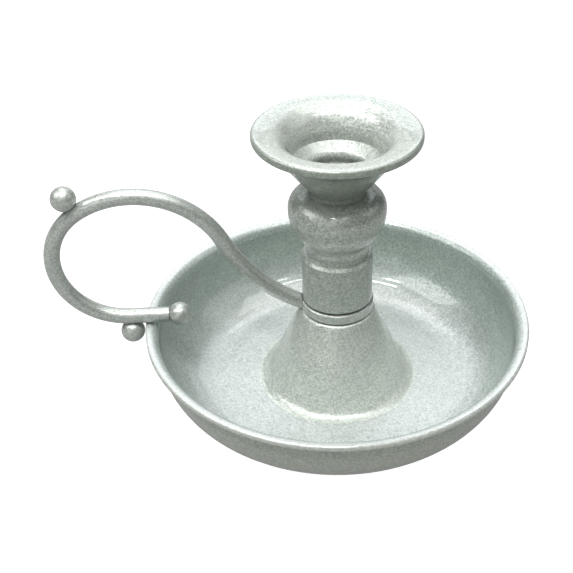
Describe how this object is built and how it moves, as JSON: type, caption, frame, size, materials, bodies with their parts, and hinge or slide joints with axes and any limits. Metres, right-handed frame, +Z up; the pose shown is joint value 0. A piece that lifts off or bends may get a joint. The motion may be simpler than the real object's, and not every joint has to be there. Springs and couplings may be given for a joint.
{
  "type": "chamberstick",
  "caption": "Chamberstick with a round drip dish, a pedestal and turned stem with a knop, a flared candle cup, and a bent rod finger loop with three balls that runs back in over the flared lip of the dish.",
  "frame": {"origin": "centre of the dish's flat underside on the table plane, on the axis of the stem", "axes": "+Z up along the stem, -X from the stem towards the finger loop, +Y to the left of the loop seen from the stem"},
  "size_m": [0.1301, 0.106, 0.0786],
  "materials": {
    "dish_paint": "satin sage-silver metallic flake spray paint",
    "stem_paint": "satin sage-silver metallic flake spray paint",
    "handle_paint": "satin sage-silver metallic flake spray paint",
    "plated_steel": "bright zinc plate"
  },
  "bodies": {
    "root": {"drip_dish": "dish_paint", "pedestal_cone": "stem_paint", "handle_collar": "handle_paint", "handle_rod": "handle_paint", "thumb_ball": "handle_paint", "prop_ball": "handle_paint", "tip_ball": "handle_paint", "stem_sleeve": "stem_paint", "knop": "stem_paint", "candle_cup": "stem_paint", "cup_washer": "plated_steel", "tie_screw": "plated_steel", "base_washer": "plated_steel", "base_spring_washer": "plated_steel", "base_nut": "plated_steel"}
  },
  "joints": []
}
